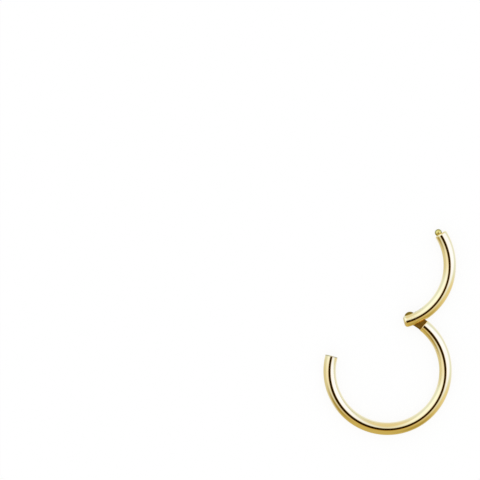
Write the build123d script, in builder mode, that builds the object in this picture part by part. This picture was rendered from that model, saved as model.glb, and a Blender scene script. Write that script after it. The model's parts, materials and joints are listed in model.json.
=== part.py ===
from build123d import *

import os
from math import cos, radians, sin

# Nose ring: a hoop of round wire with a segment that swings open on a hinge.
# Millimetres. The hoop lies flat, its axis is +Z and its centre is the origin. Angles are polar,
# in degrees, counter-clockwise from +X, and count on the shut hoop. The segment stands open.

# ---- driving dimensions ----
WIRE = 1.0  # wire diameter
BORE = 8.3  # inside diameter of the hoop
HINGE_AT = 63.5  # polar angle of the hinge pin
LATCH_AT = 165.1  # polar angle of the hoop body's free end
OPENING = 131.6  # how far the segment stands open

SHOULDER = 0.96  # hinge pin to the hoop body's shoulder, along the wire
SHOULDER_ROUND = 0.05  # rounded rim of the shoulder
TONGUE_REACH = 0.30  # hinge pin to the centre of the tongue's round end
TONGUE_ROOT = 0.60  # how far the tongue runs into the round wire
TONGUE_WIDTH = 0.92
TONGUE_THICK = 0.32
FREE_ROUND = 0.04  # broken edge of the free end

FORK_END = 0.79  # hinge pin to the forked end, along the wire
FORK_ROUND = 0.22  # rounded rim of the forked end
SLOT_REACH = 0.98  # hinge pin to the bottom of the slot
SLOT_WIDTH = 0.40  # between the fork's cheeks
TIP_ROUND = 0.14  # rounded rim of the tip

PIN = 0.40  # hinge pin diameter
PIN_CLEARANCE = 0.02  # radial, in the tongue

LATCH_GAP = 0.04  # between the tip and the free end when shut
BALL = 0.57  # diameter of the ball on the tip
BALL_OUT = 0.16  # ball's centre beyond the tip's face
BALL_IN = 0.09  # ball's centre inside the wire's centreline
POCKET = 0.63  # diameter of the pocket that takes the ball
POCKET_SWING = 8.0  # degrees of swing in which the ball leaves the pocket

# ---- worked out ----
HOOP_R = (BORE + WIRE) / 2  # radius of the wire's centreline
BALL_R = HOOP_R - BALL_IN
PIN_X = HOOP_R * cos(radians(HINGE_AT))
PIN_Y = HOOP_R * sin(radians(HINGE_AT))


def along(length):
    """Degrees of the hoop that a length of its centreline takes."""
    return length / radians(1) / HOOP_R


SHOULDER_AT = HINGE_AT - along(SHOULDER)
FORK_AT = HINGE_AT - along(FORK_END)
TIP_AT = LATCH_AT - along(LATCH_GAP)
BALL_AT = TIP_AT + along(BALL_OUT)

hinge_axis = Axis((PIN_X, PIN_Y, 0), (0, 0, 1))
shut = Plane.XY
swung = Plane(Location((PIN_X, PIN_Y, 0), (0, 0, -OPENING)) * Location((-PIN_X, -PIN_Y, 0)))


def spoke(hoop, angle):
    """The hoop's own plane, turned so that x points outward at a polar angle."""
    return Plane(hoop.location * Location((0, 0, 0), (0, 0, angle)))


def across(hoop, angle, radius=HOOP_R):
    """Plane square to the wire: x points outward, z runs along the wire."""
    turned = spoke(hoop, angle)
    return Plane(turned.from_local_coords((radius, 0, 0)), x_dir=turned.x_dir, z_dir=turned.y_dir)


def wire_arc(hoop, start, end):
    """Round wire along a hoop, from one polar angle to another."""
    with BuildSketch(across(hoop, start)) as profile:
        Circle(WIRE / 2)
    revolve(profile.sketch, axis=Axis(hoop.origin, hoop.z_dir), revolution_arc=end - start)


def end_rim(part, hoop, angle):
    """Edge round the flat end of a wire."""
    flats = part.faces().filter_by(GeomType.PLANE)
    return flats.sort_by_distance(across(hoop, angle).origin)[0].edges()


# ---- hoop body: round wire, tongue with its pin hole, and the pocket in the free end ----
tongue_line = CenterArc(
    center=(0, 0),
    radius=HOOP_R,
    start_angle=SHOULDER_AT - along(TONGUE_ROOT),
    arc_size=along(TONGUE_ROOT + SHOULDER + TONGUE_REACH),
)
shut_ball = across(shut, BALL_AT, BALL_R).origin
from_hinge = shut_ball - Vector(PIN_X, PIN_Y, 0)

with BuildPart() as hoop_body:
    wire_arc(shut, LATCH_AT, SHOULDER_AT + 360)
    fillet(end_rim(hoop_body, shut, LATCH_AT), FREE_ROUND)
    fillet(end_rim(hoop_body, shut, SHOULDER_AT), SHOULDER_ROUND)
    with BuildSketch(shut):
        SlotArc(tongue_line, TONGUE_WIDTH)
    extrude(amount=TONGUE_THICK / 2, both=True)
    with BuildSketch(shut):
        with Locations((PIN_X, PIN_Y)):
            Circle(PIN / 2 + PIN_CLEARANCE)
    extrude(amount=WIRE, both=True, mode=Mode.SUBTRACT)
    # The ball comes in along its arc about the hinge, so the pocket is that arc.
    with Locations(shut_ball):
        Sphere(POCKET / 2, mode=Mode.SUBTRACT)
    with BuildSketch(Plane(shut_ball, x_dir=from_hinge, z_dir=from_hinge.cross(Vector(0, 0, 1)))):
        Circle(POCKET / 2)
    revolve(axis=hinge_axis, revolution_arc=-POCKET_SWING, mode=Mode.SUBTRACT)

# ---- swing segment: round wire, forked at the hinge, with the ball on its tip ----
with BuildPart() as swing_segment:
    wire_arc(swung, FORK_AT, TIP_AT)
    fillet(end_rim(swing_segment, swung, FORK_AT), FORK_ROUND)
    fillet(end_rim(swing_segment, swung, TIP_AT), TIP_ROUND)
    with BuildSketch(spoke(swung, HINGE_AT)):
        with Locations((HOOP_R, SLOT_REACH)):
            Rectangle(2 * WIRE, SLOT_REACH + 2 * FORK_END, align=(Align.CENTER, Align.MAX))
    extrude(amount=SLOT_WIDTH / 2, both=True, mode=Mode.SUBTRACT)
    with BuildSketch(shut):
        with Locations((PIN_X, PIN_Y)):
            Circle(PIN / 2)
    extrude(amount=WIRE, both=True, mode=Mode.SUBTRACT)
    with Locations(across(swung, BALL_AT, BALL_R).origin):
        Sphere(BALL / 2)

# ---- hinge pin: its ends follow the round of the wire ----
with BuildPart() as hinge_pin:
    wire_arc(swung, HINGE_AT - along(PIN), HINGE_AT + along(PIN))
    with BuildSketch(shut):
        with Locations((PIN_X, PIN_Y)):
            Circle(PIN / 2)
    extrude(amount=WIRE, both=True, mode=Mode.INTERSECT)

hoop_body.part.label = "hoop_body"
swing_segment.part.label = "swing_segment"
hinge_pin.part.label = "hinge_pin"

os.makedirs("parts", exist_ok=True)
export_step(hoop_body.part, "parts/hoop_body.step")
export_step(swing_segment.part, "parts/swing_segment.step")
export_step(hinge_pin.part, "parts/hinge_pin.step")
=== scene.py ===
import json
from math import atan2, cos, degrees, pi, radians, sin

import bmesh
import bpy
from mathutils import Matrix, Vector


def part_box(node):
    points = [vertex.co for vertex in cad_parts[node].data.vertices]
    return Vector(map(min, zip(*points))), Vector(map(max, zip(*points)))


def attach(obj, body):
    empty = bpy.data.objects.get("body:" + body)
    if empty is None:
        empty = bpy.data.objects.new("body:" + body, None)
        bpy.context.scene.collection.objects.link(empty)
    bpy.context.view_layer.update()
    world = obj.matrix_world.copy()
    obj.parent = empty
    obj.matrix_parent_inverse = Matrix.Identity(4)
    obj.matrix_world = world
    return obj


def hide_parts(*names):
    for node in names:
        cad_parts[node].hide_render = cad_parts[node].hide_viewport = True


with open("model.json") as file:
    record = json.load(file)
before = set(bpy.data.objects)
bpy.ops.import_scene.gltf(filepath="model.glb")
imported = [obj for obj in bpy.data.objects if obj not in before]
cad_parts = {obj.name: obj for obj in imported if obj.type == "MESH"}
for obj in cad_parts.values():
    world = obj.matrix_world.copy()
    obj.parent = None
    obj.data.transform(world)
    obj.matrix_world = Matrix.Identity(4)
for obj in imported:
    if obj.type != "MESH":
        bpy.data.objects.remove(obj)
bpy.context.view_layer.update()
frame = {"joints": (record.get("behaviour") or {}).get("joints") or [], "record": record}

# A gold hinged segment nose ring, lying flat and swung open. Angles are polar angles of the shut
# hoop, in degrees, counter-clockwise from +X. Lengths are in metres, most of them as MM multiples.
MM = 0.001

hinge = frame["joints"][0]
mounts = {mount["name"]: mount for mount in frame["record"]["mounts"]}
latch = mounts["piercing_wire"]

# ---- the ring's sizes: the first ones are the frame's, the rest are those of its smaller shapes ----
WIRE = 2 * latch["dims"]["r_mm"] * MM
HOOP_R = mounts["hoop_centre"]["dims"]["r_mm"] * MM + WIRE / 2
HINGE = Vector(hinge["pos_m"])
HINGE_AT = degrees(atan2(HINGE.y, HINGE.x))
LATCH_AT = degrees(atan2(latch["pos_m"][1], latch["pos_m"][0]))
OPENING = hinge["range_deg"][1]
SHOULDER = 0.96 * MM  # from the hinge back to where the hoop's full wire begins
SHOULDER_ROUND = 0.05 * MM
FREE_ROUND = 0.04 * MM
TONGUE_WIDTH = 0.92 * MM
TONGUE_THICK = 0.32 * MM
TONGUE_REACH = 0.30 * MM  # from the hinge on to the middle of the tongue's round end
TONGUE_ROOT = 0.60 * MM  # how far the tongue runs on inside the wire
FORK_END = 0.79 * MM  # from the hinge back to the end of the fork
FORK_ROUND = 0.22 * MM
SLOT_REACH = 0.98 * MM  # from the hinge on into the segment
SLOT_WIDTH = 0.40 * MM
TIP_ROUND = 0.14 * MM
PIN = 0.40 * MM
PIN_CLEARANCE = 0.02 * MM
LATCH_GAP = 0.04 * MM
BALL = 0.57 * MM
BALL_OUT = 0.16 * MM  # the ball's centre beyond the tip's face
BALL_IN = 0.09 * MM  # and inside the wire's centreline
POCKET = 0.63 * MM
POCKET_SWING = 8.0  # degrees that the pocket follows the ball on its way out
THROUGH = 2 * WIRE  # a cut this long goes right through the wire
FULL_TURN = 360

# ---- mesh fineness: sides of round things, degrees to a step along the wire ----
WIRE_SIDES = 96
HOLE_SIDES = 48
BALL_SIDES = 64
STEP = 1.0
ROUND_STEPS = 6
MERGED = WIRE / 1e5  # points nearer than this are made one

UP = Vector((0, 0, 1))


def along(length):
    """Degrees of the hoop that a length of its centreline takes."""
    return degrees(length / HOOP_R)


SHOULDER_AT = HINGE_AT - along(SHOULDER)
FORK_AT = HINGE_AT - along(FORK_END)
TIP_AT = LATCH_AT - along(LATCH_GAP)
BALL_AT = TIP_AT + along(BALL_OUT)
BALL_R = HOOP_R - BALL_IN

SHUT = Matrix.Identity(4)
SWUNG = Matrix.Translation(HINGE) @ Matrix.Rotation(radians(-OPENING), 4, "Z") @ Matrix.Translation(-HINGE)


# ---------------------------------------------------------------- shader helpers
class Socket:
    """A node's output that can be used in sums. Each operator adds a Math node."""

    def __init__(self, tree, out):
        self.tree = tree
        self.out = out

    def math(self, operation, *others):
        return self.tree.maths("ShaderNodeMath", operation, self, *others)

    def reverse(self, operation, other):
        return self.tree.maths("ShaderNodeMath", operation, other, self)

    def __add__(self, other):
        return self.math("ADD", other)

    def __sub__(self, other):
        return self.math("SUBTRACT", other)

    def __mul__(self, other):
        return self.math("MULTIPLY", other)

    def __truediv__(self, other):
        return self.math("DIVIDE", other)

    def __rsub__(self, other):
        return self.reverse("SUBTRACT", other)

    def __rtruediv__(self, other):
        return self.reverse("DIVIDE", other)

    __radd__ = __add__
    __rmul__ = __mul__


class Tree:
    """A node tree that adds a node from its type, its settings and its sockets' values or links."""

    def __init__(self, owner):
        owner.use_nodes = True
        self.nodes = owner.node_tree.nodes
        self.links = owner.node_tree.links
        self.nodes.clear()

    def add(self, kind, settings=None, values=None):
        """Add a node. Gives those of its outputs that its settings leave in use, by name."""
        node = self.nodes.new(kind)
        for name, value in (settings or {}).items():
            setattr(node, name, value)
        for key, value in (values or {}).items():
            if isinstance(value, Socket):
                self.links.new(value.out, node.inputs[key])
            else:
                node.inputs[key].default_value = value
        return {out.name: Socket(self, out) for out in node.outputs if out.enabled}

    def maths(self, kind, operation, *values):
        """The one result of a Math or Vector Math node."""
        (result,) = self.add(kind, {"operation": operation}, dict(enumerate(values))).values()
        return result

    def vector(self, operation, *values):
        return self.maths("ShaderNodeVectorMath", operation, *values)

    def step(self, value, low, high):
        """0 below low, 1 above high and smooth between them; high may be the lower one."""
        values = {"Value": value, "From Min": low, "From Max": high}
        return self.add("ShaderNodeMapRange", {"interpolation_type": "SMOOTHSTEP"}, values)["Result"]

    def mix(self, factor, first, second):
        """Colour from first to second. A Mix node's colour inputs have the numbers 6 and 7."""
        values = {0: factor, 6: first, 7: second}
        return self.add("ShaderNodeMix", {"data_type": "RGBA"}, values)["Result"]

    def mix_shader(self, factor, first, second):
        return self.add("ShaderNodeMixShader", None, {0: factor, 1: first, 2: second})["Shader"]


def rgb(red, green, blue):
    return (red, green, blue, 1.0)


# ---------------------------------------------------------------- materials
BRIGHT_GOLD = rgb(0.95, 0.75, 0.36)
CLOUDED_GOLD = rgb(0.94, 0.735, 0.345)
DULL_GOLD = rgb(0.48, 0.38, 0.17)
SEAM_BROWN = rgb(0.40, 0.24, 0.05)
# Painted shade: the cut faces' brown and deeper brown stand in for shade and gold-on-gold reflections in
# the recesses, which are gold.
PAINTED_SHADE_BROWN = rgb(0.62, 0.33, 0.035)
PAINTED_DEEP_SHADE_BROWN = rgb(0.50, 0.23, 0.02)
# Painted reflection: olive on the tongue's end past the pin.
PAINTED_REFLECTION_OLIVE = rgb(0.74, 0.52, 0.07)
TOOL_BROWN = rgb(0.26, 0.14, 0.015)
BALL_YELLOW = rgb(0.88, 0.72, 0.22)
# Painted shade: darker brown scattered in patches over the ball.
BALL_PAINTED_SHADE = rgb(0.76, 0.58, 0.14)
# Painted shade: olive round the ball's sides, away from its upright axis.
BALL_PAINTED_SIDE_SHADE = rgb(0.27, 0.23, 0.03)
WHITE = rgb(1, 1, 1)

# Scales of the noise that the marks come from.
POLISHING = 26 / MM
SWELL = 1.3 / MM
CLOUD = 0.7 / MM
HAIRLINE = 14 / MM
TOOLING = 22 / MM
CUT_PATCH = 3.2 / MM
CUT_GRAIN = 30 / MM
BALL_PATCH = 4.2 / MM
BALL_GRAIN = 26 / MM

# Marks are drawn out along the work by having their place squeezed there.
POLISHING_SQUEEZE = 0.03
SWELL_SQUEEZE = 0.25
HAIRLINE_SQUEEZE = (1.0, 0.05, 1.0)
TOOLING_SQUEEZE = (1.0, 0.06, 0.3)

# How deep a height of 1 is.
WIRE_RELIEF = 0.001 * MM
CUT_RELIEF = 0.0008 * MM
BALL_RELIEF = 0.0014 * MM

# Distances at which a mark begins, and is full.
SEAM_BEGINS, SEAM_FULL = 0.009 * MM, 0.003 * MM  # from the pin's edge
DULL_BEGINS, DULL_FULL = 0.10 * MM, 0.05 * MM  # from the cut end
# Painted reflection: where the olive past the pin begins and is full.
PAINTED_OLIVE_BEGINS, PAINTED_OLIVE_FULL = -0.1 * MM, 0.5 * MM  # past the pin
# Painted shade: where the olive round the ball's sides begins and is full.
SIDE_SHADE_BEGINS, SIDE_SHADE_FULL = 0.15 * MM, 0.27 * MM  # from the ball's upright axis

# A hoop's open gap is turned to where the arctangent jumps, so that lengths run on along its wire.
GAP_TURN = 70


def noise(tree, place, scale, detail=2.0):
    values = {"Vector": place, "Scale": scale, "Detail": detail}
    return tree.add("ShaderNodeTexNoise", None, values)["Fac"]


def mapping(tree, place, **values):
    return tree.add("ShaderNodeMapping", None, {"Vector": place, **values})["Vector"]


def parts(tree, vector):
    """X, Y and Z of a vector."""
    return tree.add("ShaderNodeSeparateXYZ", None, {0: vector}).values()


def flat(tree, place, centre):
    """The way to a place from an upright axis through centre."""
    return tree.vector("MULTIPLY", tree.vector("SUBTRACT", place, centre), (1, 1, 0))


def gold(tree, colour, roughness, height, depth):
    """Gold surface whose height map is as deep as depth."""
    values = {"Height": height, "Strength": 1.0, "Distance": depth}
    bump = tree.add("ShaderNodeBump", None, values)["Normal"]
    values = {"Base Color": colour, "Metallic": 1.0, "Roughness": roughness, "Normal": bump}
    surface = tree.add("ShaderNodeBsdfPrincipled", None, values)["BSDF"]
    tree.add("ShaderNodeOutputMaterial", None, {"Surface": surface})


def polished_gold(name, hoop, seam=None, cut=None):
    """Bright wire, with fine polishing lines that run along a hoop.

    seam is the radius of a pin whose end shows, and cut the angle of an end that is a little dull.
    """
    material = bpy.data.materials.new(name)
    tree = Tree(material)
    place = tree.add("ShaderNodeTexCoord")["Object"]
    centred = tree.add(
        "ShaderNodeMapping",
        {"vector_type": "TEXTURE"},
        {"Vector": place, "Location": hoop.translation, "Rotation": (0, 0, radians(-GAP_TURN))},
    )["Vector"]
    x, y, z = parts(tree, centred)
    radius = (x * x + y * y).math("SQRT")
    length = y.math("ARCTAN2", x) * HOOP_R

    def along_wire(squeeze):
        return tree.add("ShaderNodeCombineXYZ", None, {0: length * squeeze, 1: radius, 2: z})["Vector"]

    lines = noise(tree, along_wire(POLISHING_SQUEEZE), POLISHING)
    swell = noise(tree, along_wire(SWELL_SQUEEZE), SWELL)
    cloud = noise(tree, place, CLOUD)
    hair = noise(tree, mapping(tree, place, Scale=HAIRLINE_SQUEEZE), HAIRLINE)
    hairline = tree.step(hair, 0.70, 0.78)
    colour = tree.mix(tree.step(cloud, 0.35, 0.65), BRIGHT_GOLD, CLOUDED_GOLD)
    roughness = 0.035 + 0.03 * tree.step(cloud, 0.3, 0.7) + 0.02 * lines + 0.08 * hairline
    height = lines * 0.25 + swell * 6.0 - hairline * 0.3
    if cut is not None:
        end = radians(cut + GAP_TURN - FULL_TURN) * HOOP_R
        dull = tree.step(length, end + DULL_BEGINS, end + DULL_FULL)
        colour = tree.mix(dull * 0.9, colour, DULL_GOLD)
        roughness = roughness + 0.10 * dull
    if seam is not None:
        away = tree.vector("LENGTH", flat(tree, place, HINGE))
        ring = tree.step((away - seam).math("ABSOLUTE"), SEAM_BEGINS, SEAM_FULL)
        colour = tree.mix(ring * 0.6, colour, SEAM_BROWN)
        height = height - ring
    gold(tree, colour, roughness, height, WIRE_RELIEF)
    return material


def machined_gold_painted_shade(name):
    """Gold of the cut faces, with straight tool marks, painted brown as shade and gold reflections in the
    recesses, and painted olive reflection past the pin.
    """
    material = bpy.data.materials.new(name)
    tree = Tree(material)
    place = tree.add("ShaderNodeTexCoord")["Object"]
    marks = mapping(tree, place, Rotation=(0, 0, radians(-HINGE_AT)), Scale=TOOLING_SQUEEZE)
    tool = noise(tree, marks, TOOLING)
    patch = noise(tree, place, CUT_PATCH, detail=3.0)
    grain = noise(tree, place, CUT_GRAIN)
    tangent = spoke(SHUT, HINGE_AT).to_3x3() @ Vector((0, 0, -1))
    past = tree.vector("DOT_PRODUCT", tree.vector("SUBTRACT", place, HINGE), tangent)
    # Painted reflection: olive past the pin.
    painted_reflection_mask = tree.step(past, PAINTED_OLIVE_BEGINS, PAINTED_OLIVE_FULL)
    # Painted shade: brown and deeper brown in patches over the cut faces.
    colour = tree.mix(tree.step(patch, 0.42, 0.60), PAINTED_SHADE_BROWN, PAINTED_DEEP_SHADE_BROWN)
    colour = tree.mix(painted_reflection_mask, colour, PAINTED_REFLECTION_OLIVE)
    colour = tree.mix(tree.step(tool, 0.5, 0.75) * 0.4, colour, TOOL_BROWN)
    roughness = 0.20 + 0.14 * patch + 0.04 * grain
    gold(tree, colour, roughness, tool + grain * 0.2, CUT_RELIEF)
    return material


def burnished_gold_painted_shade(name):
    """Ball of the latch: yellower and softer than the wire, with painted shade: darker brown in patches,
    and olive round its sides away from its upright axis.
    """
    material = bpy.data.materials.new(name)
    tree = Tree(material)
    place = tree.add("ShaderNodeTexCoord")["Object"]
    patch = noise(tree, place, BALL_PATCH, detail=3.0)
    grain = noise(tree, place, BALL_GRAIN)
    away = tree.vector("LENGTH", flat(tree, place, spoke(SWUNG, BALL_AT, BALL_R).translation))
    # Painted shade: olive round the ball's sides.
    painted_side_shade = tree.step(away, SIDE_SHADE_BEGINS, SIDE_SHADE_FULL)
    # Painted shade: darker brown in patches.
    colour = tree.mix(tree.step(patch, 0.40, 0.62), BALL_YELLOW, BALL_PAINTED_SHADE)
    colour = tree.mix(painted_side_shade * 0.9, colour, BALL_PAINTED_SIDE_SHADE)
    roughness = 0.22 + 0.12 * patch + 0.05 * grain
    gold(tree, colour, roughness, grain + patch, BALL_RELIEF)
    return material


# ---------------------------------------------------------------- mesh helpers
def spoke(hoop, angle, radius=HOOP_R):
    """Frame square to the wire at a polar angle: x outward, y up, z back along the wire."""
    inward = Matrix.Translation((radius, 0, 0)) @ Matrix.Rotation(pi / 2, 4, "X")
    return hoop @ Matrix.Rotation(radians(angle), 4, "Z") @ inward


def rim(bm, edges, frame_at, size, forward):
    """Round the open end of a tube and close it with a flat face."""
    back = frame_at.inverted()
    reach = WIRE / 2
    for step in range(1, ROUND_STEPS + 1):
        turn = pi / 2 * step / ROUND_STEPS
        made = bmesh.ops.extrude_edge_only(bm, edges=edges)["geom"]
        edges = [part for part in made if isinstance(part, bmesh.types.BMEdge)]
        verts = [part for part in made if isinstance(part, bmesh.types.BMVert)]
        wanted = WIRE / 2 - size * (1 - cos(turn))
        moved = size * (sin(turn) - sin(turn - pi / 2 / ROUND_STEPS))
        shrink = Matrix.Diagonal((wanted / reach, wanted / reach, 1, 1))
        bmesh.ops.transform(bm, matrix=frame_at @ shrink @ back, verts=verts)
        bmesh.ops.translate(bm, vec=forward * moved, verts=verts)
        reach = wanted
    bmesh.ops.contextual_create(bm, geom=edges)


def wire_arc(bm, hoop, start, end, start_round, end_round):
    """Round wire along a hoop between two polar angles, with rounded rims."""
    first = start + along(start_round)
    last = end - along(end_round)
    begin = spoke(hoop, first)
    finish = spoke(hoop, last)
    verts = bmesh.ops.create_circle(bm, segments=WIRE_SIDES, radius=WIRE / 2, matrix=begin)["verts"]
    edges = [edge for edge in bm.edges if edge.verts[0] in verts]
    made = bmesh.ops.spin(
        bm,
        geom=edges,
        cent=hoop.translation,
        axis=UP,
        angle=radians(last - first),
        steps=round((last - first) / STEP),
    )["geom_last"]
    far = [part for part in made if isinstance(part, bmesh.types.BMEdge)]
    rim(bm, edges, begin, start_round, begin.to_3x3() @ Vector((0, 0, 1)))
    rim(bm, far, finish, end_round, finish.to_3x3() @ Vector((0, 0, -1)))


def round_ball(bm, size, lay):
    bmesh.ops.create_uvsphere(
        bm,
        u_segments=BALL_SIDES,
        v_segments=BALL_SIDES // 2,
        radius=size / 2,
        matrix=lay,
    )


def make_piece(name, bm, material):
    """Merge a mesh's doubles, turn its faces outward and link it as an object."""
    bmesh.ops.remove_doubles(bm, verts=bm.verts, dist=MERGED)
    bmesh.ops.recalc_face_normals(bm, faces=bm.faces)
    mesh = bpy.data.meshes.new(name)
    bm.to_mesh(mesh)
    bm.free()
    mesh.materials.append(material)
    piece = bpy.data.objects.new(name, mesh)
    bpy.context.scene.collection.objects.link(piece)
    return piece


def combine(piece, tool, operation):
    """Cut a piece with a tool, or join the tool to it, and use the tool up."""
    step = piece.modifiers.new("combine", "BOOLEAN")
    step.operation = operation
    step.solver = "EXACT"
    step.material_mode = "TRANSFER"
    step.object = tool
    graph = bpy.context.evaluated_depsgraph_get()
    made = bpy.data.meshes.new_from_object(piece.evaluated_get(graph))
    piece.modifiers.clear()
    piece.data = made
    bpy.data.objects.remove(tool)


def smooth(piece, angle=35):
    """Smooth shading, with the cut edges kept sharp."""
    piece.data.polygons.foreach_set("use_smooth", [True] * len(piece.data.polygons))
    piece.data.set_sharp_from_angle(angle=radians(angle))


def cylinder(name, radius, material):
    """Upright cylinder round the hinge's axis, longer than the wire is thick."""
    bm = bmesh.new()
    bmesh.ops.create_cone(
        bm,
        cap_ends=True,
        segments=HOLE_SIDES,
        radius1=radius,
        radius2=radius,
        depth=THROUGH,
        matrix=Matrix.Translation(HINGE),
    )
    return make_piece(name, bm, material)


# ---------------------------------------------------------------- hoop body
def tongue(material):
    """Flat tongue along the wire's line, with a round end past the hinge pin."""
    end = HINGE_AT + along(TONGUE_REACH)
    root = SHOULDER_AT - along(TONGUE_ROOT)
    begin = spoke(SHUT, root)
    bm = bmesh.new()
    half = TONGUE_WIDTH / 2
    sides = [bm.verts.new(begin @ Vector((across, -TONGUE_THICK / 2, 0))) for across in (-half, half)]
    swept = bmesh.ops.spin(
        bm,
        geom=[bm.edges.new(sides)],
        cent=(0, 0, 0),
        axis=UP,
        angle=radians(end - root),
        steps=round((end - root) / STEP),
    )["geom_last"]
    outer = max(
        (part for part in swept if isinstance(part, bmesh.types.BMVert)),
        key=lambda vert: vert.co.length,
    )
    middle = spoke(SHUT, end).translation
    bmesh.ops.spin(bm, geom=[outer], cent=middle, axis=UP, angle=pi, steps=WIRE_SIDES // 2)
    bmesh.ops.remove_doubles(bm, verts=bm.verts, dist=MERGED)
    rounded = [edge for edge in bm.edges if not edge.link_faces]
    verts = {vert for edge in rounded for vert in edge.verts}
    across = [edge for edge in bm.edges if edge.is_boundary and verts.issuperset(edge.verts)]
    bmesh.ops.contextual_create(bm, geom=rounded + across)
    raised = bmesh.ops.extrude_face_region(bm, geom=bm.faces[:])["geom"]
    top = [part for part in raised if isinstance(part, bmesh.types.BMVert)]
    bmesh.ops.translate(bm, vec=UP * TONGUE_THICK, verts=top)
    return make_piece("tongue", bm, material)


def pocket(material):
    """What the ball sweeps out of the free end as it leaves: a half ball and an arc of tube."""
    seat = spoke(SHUT, BALL_AT, BALL_R).translation
    arm = seat - HINGE
    turn = arm.to_track_quat("X", "Z").to_matrix().to_4x4()
    lay = Matrix.Translation(seat) @ turn @ Matrix.Rotation(pi / 2, 4, "X")
    bm = bmesh.new()
    round_ball(bm, POCKET, lay)
    ahead = UP.cross(arm)
    bmesh.ops.bisect_plane(
        bm,
        geom=bm.verts[:] + bm.edges[:] + bm.faces[:],
        plane_co=seat,
        plane_no=-ahead,
        clear_outer=True,
        dist=MERGED,
    )
    mouth = [edge for edge in bm.edges if edge.is_boundary]
    swept = bmesh.ops.spin(
        bm,
        geom=mouth,
        cent=HINGE,
        axis=UP,
        angle=radians(-POCKET_SWING),
        steps=round(POCKET_SWING / STEP) * 2,
    )["geom_last"]
    far = [part for part in swept if isinstance(part, bmesh.types.BMEdge)]
    bmesh.ops.contextual_create(bm, geom=far)
    return make_piece("pocket", bm, material)


def make_hoop(polished, machined_painted_shade):
    bm = bmesh.new()
    wire_arc(bm, SHUT, LATCH_AT, SHOULDER_AT + FULL_TURN, FREE_ROUND, SHOULDER_ROUND)
    piece = make_piece("hoop_wire", bm, polished)
    combine(piece, tongue(machined_painted_shade), "UNION")
    combine(piece, cylinder("hole", PIN / 2 + PIN_CLEARANCE, machined_painted_shade), "DIFFERENCE")
    combine(piece, pocket(machined_painted_shade), "DIFFERENCE")
    smooth(piece)
    return piece


# ---------------------------------------------------------------- swing segment
def slot(material):
    """Box that cuts the fork's slot."""
    bm = bmesh.new()
    bmesh.ops.create_cube(bm, size=1.0)
    length = SLOT_REACH + 2 * FORK_END
    size = Matrix.Diagonal((THROUGH, SLOT_WIDTH, length, 1))
    shift = Matrix.Translation((0, 0, length / 2 - SLOT_REACH))
    bmesh.ops.transform(bm, matrix=spoke(SWUNG, HINGE_AT) @ shift @ size, verts=bm.verts)
    return make_piece("slot", bm, material)


def ball(material):
    bm = bmesh.new()
    round_ball(bm, BALL, spoke(SWUNG, BALL_AT, BALL_R))
    return make_piece("ball", bm, material)


def make_segment(polished, machined_painted_shade, burnished_painted_shade):
    bm = bmesh.new()
    wire_arc(bm, SWUNG, FORK_AT, TIP_AT, FORK_ROUND, TIP_ROUND)
    piece = make_piece("segment_wire", bm, polished)
    combine(piece, slot(machined_painted_shade), "DIFFERENCE")
    combine(piece, cylinder("bore", PIN / 2, machined_painted_shade), "DIFFERENCE")
    combine(piece, ball(burnished_painted_shade), "UNION")
    smooth(piece)
    return piece


# ---------------------------------------------------------------- hinge pin
def make_pin(polished, machined_painted_shade):
    """Pin whose ends follow the round of the wire."""
    bm = bmesh.new()
    wire_arc(bm, SWUNG, HINGE_AT - along(PIN), HINGE_AT + along(PIN), FREE_ROUND, FREE_ROUND)
    piece = make_piece("pin", bm, polished)
    combine(piece, cylinder("shank", PIN / 2, machined_painted_shade), "INTERSECT")
    smooth(piece)
    return piece


polished_hoop = polished_gold("polished_gold_hoop", SHUT, cut=LATCH_AT)
polished_segment = polished_gold("polished_gold_segment", SWUNG, seam=PIN / 2)
machined_painted_shade = machined_gold_painted_shade("machined_gold_painted_shade")
burnished_painted_shade = burnished_gold_painted_shade("burnished_gold_painted_shade")

pieces = {
    "hoop_body": ("hoop", make_hoop(polished_hoop, machined_painted_shade)),
    "swing_segment": ("segment", make_segment(polished_segment, machined_painted_shade, burnished_painted_shade)),
    "hinge_pin": ("segment", make_pin(polished_segment, machined_painted_shade)),
}
for node, (body, piece) in pieces.items():
    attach(piece, body)
    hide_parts(node)


# ---------------------------------------------------------------- studio
FLOOR_HALF = 400 * MM
FLOOR_GAP = 0.005 * MM
FLOOR_WHITE = 0.88  # the rest of what the camera sees of the floor takes the ring's shadow


def make_floor():
    bm = bmesh.new()
    level = Matrix.Translation((0, 0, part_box("hoop_body")[0].z - FLOOR_GAP))
    bmesh.ops.create_grid(bm, size=FLOOR_HALF, matrix=level)
    material = bpy.data.materials.new("white_floor")
    tree = Tree(material)
    path = tree.add("ShaderNodeLightPath")
    matt = tree.add("ShaderNodeBsdfDiffuse", None, {"Color": WHITE})["BSDF"]
    white = tree.add("ShaderNodeEmission", None, {"Color": WHITE, "Strength": 1.0})["Emission"]
    clear = tree.add("ShaderNodeBsdfTransparent")["BSDF"]
    seen = tree.mix_shader(path["Is Camera Ray"] * FLOOR_WHITE, matt, white)
    surface = tree.mix_shader(path["Is Glossy Ray"], seen, clear)
    tree.add("ShaderNodeOutputMaterial", None, {"Surface": surface})
    floor = make_piece("floor", bm, material)


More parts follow.
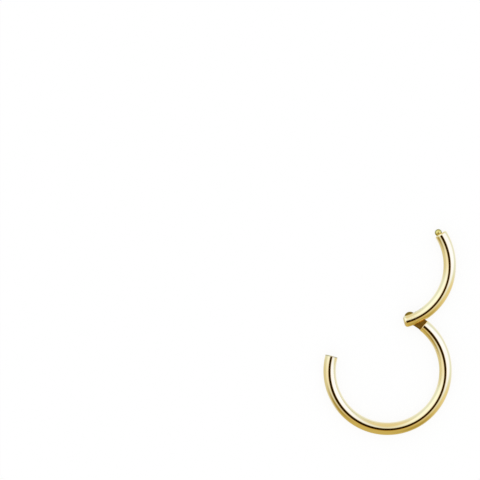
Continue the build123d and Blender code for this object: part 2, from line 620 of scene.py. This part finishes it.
# What the metal sees, each by the direction that a surface faces to show it: 0, 0 is straight up,
# and a surface on its side is at 1 from there. Centre, half size, softness, colour.
STUDIO = {
    "low wall in front": ((0.00, -1.00), (0.90, 0.45), 0.5, rgb(0.76, 0.74, 0.58)),
    "cream wall on the left": ((-0.88, -0.15), (0.34, 0.32), 0.5, rgb(0.74, 0.77, 0.72)),
    "cream panel on the left": ((-0.43, -0.02), (0.13, 0.15), 0.6, rgb(0.97, 1.02, 1.15)),
    "warm strip at the back": ((0.00, 0.55), (0.28, 0.32), 0.6, rgb(0.82, 0.82, 0.76)),
    "warm wall on the right": ((0.62, -0.41), (0.42, 0.26), 0.5, rgb(0.83, 0.82, 0.70)),
    "window on the right": ((0.40, 0.14), (0.30, 0.26), 0.4, rgb(1.10, 1.33, 2.60)),
    "window on the left": ((-0.31, 0.26), (0.24, 0.22), 0.5, rgb(1.10, 1.32, 1.95)),
    "gold card in front": ((-0.03, -0.62), (0.68, 0.38), 0.3, rgb(0.62, 0.55, 0.26)),
    "dark stand on the left": ((-0.52, -0.38), (0.17, 0.18), 0.8, rgb(0.42, 0.34, 0.10)),
    "dark stand on the right": ((0.33, -0.62), (0.18, 0.14), 0.8, rgb(0.44, 0.37, 0.13)),
    "brown hood of the lens": ((-0.03, -0.12), (0.235, 0.205), 0.15, rgb(0.50, 0.30, 0.03)),
    "lens above": ((-0.03, -0.10), (0.185, 0.155), 0.12, rgb(0.016, 0.008, 0.00)),
}
# Behind them: the room, the ground about the ring, and the ground close under it.
ROOM_TONE = rgb(0.79, 1.00, 1.42)
GROUND_TONE = rgb(0.92, 1.06, 1.42)
UNDER_TONE = rgb(0.97, 0.95, 0.86)


def make_world():
    """White to the camera and to the floor. The metal sees a studio of windows, cards and a lens."""
    world = bpy.data.worlds.new("studio")
    bpy.context.scene.world = world
    tree = Tree(world)
    way = tree.add("ShaderNodeTexCoord")["Generated"]
    facing = tree.vector("NORMALIZE", tree.vector("ADD", way, UP))
    x, y, _ = parts(tree, facing)
    lean = (x * x + y * y).math("SQRT")
    tone = tree.mix(tree.step(lean, 0.78, 0.95), ROOM_TONE, GROUND_TONE)
    tone = tree.mix(tree.step(lean, 0.93, 1.00), tone, UNDER_TONE)
    for centre, half, soft, colour in STUDIO.values():
        across = (x - centre[0]) / half[0]
        up = (y - centre[1]) / half[1]
        away = (across * across + up * up).math("SQRT")
        tone = tree.mix(tree.step(away, 1 + soft, 1 - soft), tone, colour)
    path = tree.add("ShaderNodeLightPath")
    seen = tree.mix(path["Is Glossy Ray"], WHITE, tone)
    surface = tree.add("ShaderNodeBackground", None, {"Color": seen, "Strength": 1.0})["Background"]
    tree.add("ShaderNodeOutputWorld", None, {"Surface": surface})


CAMERA_HEIGHT = 400 * MM
CAMERA_AT = (-11.84 * MM, 10.50 * MM, CAMERA_HEIGHT)
VIEW_WIDTH = 38.52 * MM


def make_camera():
    """Looks straight down on the hoop, which stands low and right in the view."""
    data = bpy.data.cameras.new("camera")
    data.lens = data.sensor_width * CAMERA_HEIGHT / VIEW_WIDTH
    data.clip_start = 1 * MM
    data.clip_end = 10.0
    camera = bpy.data.objects.new("camera", data)
    camera.location = CAMERA_AT
    bpy.context.scene.collection.objects.link(camera)
    bpy.context.scene.camera = camera


make_floor()
make_world()
make_camera()
bpy.context.scene.view_settings.view_transform = "Standard"
